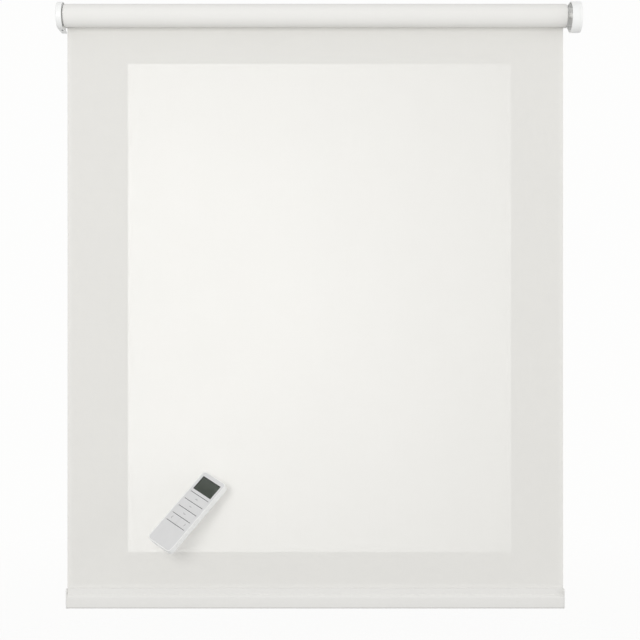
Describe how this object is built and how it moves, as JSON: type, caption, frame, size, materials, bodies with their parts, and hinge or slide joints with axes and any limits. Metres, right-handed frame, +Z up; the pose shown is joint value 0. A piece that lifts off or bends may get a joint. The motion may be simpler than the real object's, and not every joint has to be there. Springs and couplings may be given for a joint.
{
  "type": "motorized roller blind",
  "caption": "Motorized roller blind: translucent fabric on a tube with a battery tubular motor inside, covered wall brackets, a hem bar and a keyed handset with a screen.",
  "frame": {"origin": "centre of the four wall screw holes, on the wall plane, level with the roller's axis", "axes": "+X along the roller to the right as seen from the room, +Y into the wall, +Z up"},
  "size_m": [0.905, 0.1076, 1.0543],
  "materials": {
    "white_plastic": "satin",
    "black_plastic": "matte",
    "white_nylon": "satin",
    "steel_plate": "satin",
    "steel": "satin",
    "aluminium": "satin",
    "brass": "satin",
    "fabric": "matte",
    "cell_wrap": "satin",
    "circuit": "satin",
    "handset_white": "gloss",
    "handset_grey": "satin",
    "screen_glass": "gloss",
    "screen_panel": "satin"
  },
  "bodies": {
    "brackets": {"motor_bracket_plate": "steel_plate", "motor_bracket_cover": "white_plastic", "motor_head": "white_plastic", "motor_head_screws": "steel", "charging_socket": "steel", "motor_housing": "steel", "cell_holder": "black_plastic", "battery_cells": "cell_wrap", "control_board": "circuit", "motor_can": "steel", "ring_gear": "steel", "output_bearing": "brass", "idler_bracket_plate": "steel_plate", "idler_bracket_cover": "white_plastic", "idler_bracket_cap": "white_plastic", "idler_socket": "white_plastic", "idler_socket_screws": "steel", "fabric_drop": "fabric"},
    "roller": {"roller_tube": "aluminium", "fabric_strip": "white_nylon", "fabric_roll": "fabric", "crown_ring": "white_nylon", "drive_wheel": "white_nylon", "drive_wheel_clip": "steel", "planet_carrier": "steel", "idler_plug": "white_nylon", "spring_seat": "white_nylon", "idler_spring": "steel"},
    "idler_pin": {"idler_pin": "white_nylon"},
    "sun_gear": {"sun_gear": "brass"},
    "planet_gear_1": {"planet_gear_1": "white_nylon"},
    "planet_gear_2": {"planet_gear_2": "white_nylon"},
    "planet_gear_3": {"planet_gear_3": "white_nylon"},
    "hem": {"hem_bar": "aluminium", "hem_pocket": "fabric", "hem_end_cap_left": "white_plastic", "hem_end_cap_right": "white_plastic"},
    "setting_button": {"setting_button": "white_plastic"},
    "handset": {"handset_case": "handset_white", "handset_face": "handset_grey", "screen_lens": "screen_glass", "screen_module": "screen_panel", "key_frame": "black_plastic", "handset_board": "circuit", "switch_domes": "steel", "coin_cell": "steel", "cell_contacts": "brass", "handset_screws": "steel"},
    "key_up": {"key_up": "handset_grey"},
    "key_stop": {"key_stop": "handset_grey"},
    "key_down": {"key_down": "handset_grey"},
    "key_previous": {"key_previous": "handset_grey"},
    "key_next": {"key_next": "handset_grey"},
    "battery_door": {"battery_door": "handset_white"}
  },
  "joints": [
    {"name": "roller_spin", "type": "hinge", "parent": "brackets", "child": "roller", "pos_m": [0, -0.036, 0], "axis": [1, 0, 0], "range_deg": [0, 2590]},
    {"name": "hem_lift", "type": "slide", "parent": "brackets", "child": "hem", "axis": [0, 0, 1], "range_m": [0, 0.97], "deforming": ["fabric_drop"]},
    {"name": "idler_pin_press", "type": "slide", "parent": "roller", "child": "idler_pin", "axis": [-1, 0, 0], "range_m": [0, 0.008], "stiffness_N_per_m": 800, "springref_m": -0.006, "deforming": ["idler_spring"]},
    {"name": "sun_gear_spin", "type": "hinge", "parent": "brackets", "child": "sun_gear", "pos_m": [-0.158, -0.036, 0], "axis": [1, 0, 0], "range_deg": [0, 10360]},
    {"name": "planet_gear_1_spin", "type": "hinge", "parent": "roller", "child": "planet_gear_1", "pos_m": [-0.156, -0.02925, 0], "axis": [1, 0, 0], "range_deg": [-7770, 0]},
    {"name": "planet_gear_2_spin", "type": "hinge", "parent": "roller", "child": "planet_gear_2", "pos_m": [-0.156, -0.03938, 0.00585], "axis": [1, 0, 0], "range_deg": [-7770, 0]},
    {"name": "planet_gear_3_spin", "type": "hinge", "parent": "roller", "child": "planet_gear_3", "pos_m": [-0.156, -0.03938, -0.00585], "axis": [1, 0, 0], "range_deg": [-7770, 0]},
    {"name": "setting_button_press", "type": "slide", "parent": "brackets", "child": "setting_button", "axis": [0, 0, 1], "range_m": [0, 0.0008], "stiffness_N_per_m": 600, "springref_m": -0.0006},
    {"name": "handset_pick_up", "type": "slide", "parent": "brackets", "child": "handset", "axis": [-0.2599, -0.7668, 0.5869], "range_m": [0, 0.12]},
    {"name": "key_up_press", "type": "slide", "parent": "handset", "child": "key_up", "axis": [0.2599, 0.7668, -0.5869], "range_m": [0, 0.0006], "stiffness_N_per_m": 900, "springref_m": -0.0004},
    {"name": "key_stop_press", "type": "slide", "parent": "handset", "child": "key_stop", "axis": [0.2599, 0.7668, -0.5869], "range_m": [0, 0.0006], "stiffness_N_per_m": 900, "springref_m": -0.0004},
    {"name": "key_down_press", "type": "slide", "parent": "handset", "child": "key_down", "axis": [0.2599, 0.7668, -0.5869], "range_m": [0, 0.0006], "stiffness_N_per_m": 900, "springref_m": -0.0004},
    {"name": "key_previous_press", "type": "slide", "parent": "handset", "child": "key_previous", "axis": [0.2599, 0.7668, -0.5869], "range_m": [0, 0.0006], "stiffness_N_per_m": 900, "springref_m": -0.0004},
    {"name": "key_next_press", "type": "slide", "parent": "handset", "child": "key_next", "axis": [0.2599, 0.7668, -0.5869], "range_m": [0, 0.0006], "stiffness_N_per_m": 900, "springref_m": -0.0004},
    {"name": "battery_door_slide", "type": "slide", "parent": "handset", "child": "battery_door", "axis": [-0.6169, -0.3357, -0.7118], "range_m": [0, 0.05]}
  ],
  "couplings": [
    {"joint": "roller_spin", "follows": "hem_lift", "rad_per_m": 46.602},
    {"joint": "sun_gear_spin", "follows": "hem_lift", "rad_per_m": 186.41},
    {"joint": "planet_gear_1_spin", "follows": "hem_lift", "rad_per_m": -139.81},
    {"joint": "planet_gear_2_spin", "follows": "hem_lift", "rad_per_m": -139.81},
    {"joint": "planet_gear_3_spin", "follows": "hem_lift", "rad_per_m": -139.81}
  ]
}
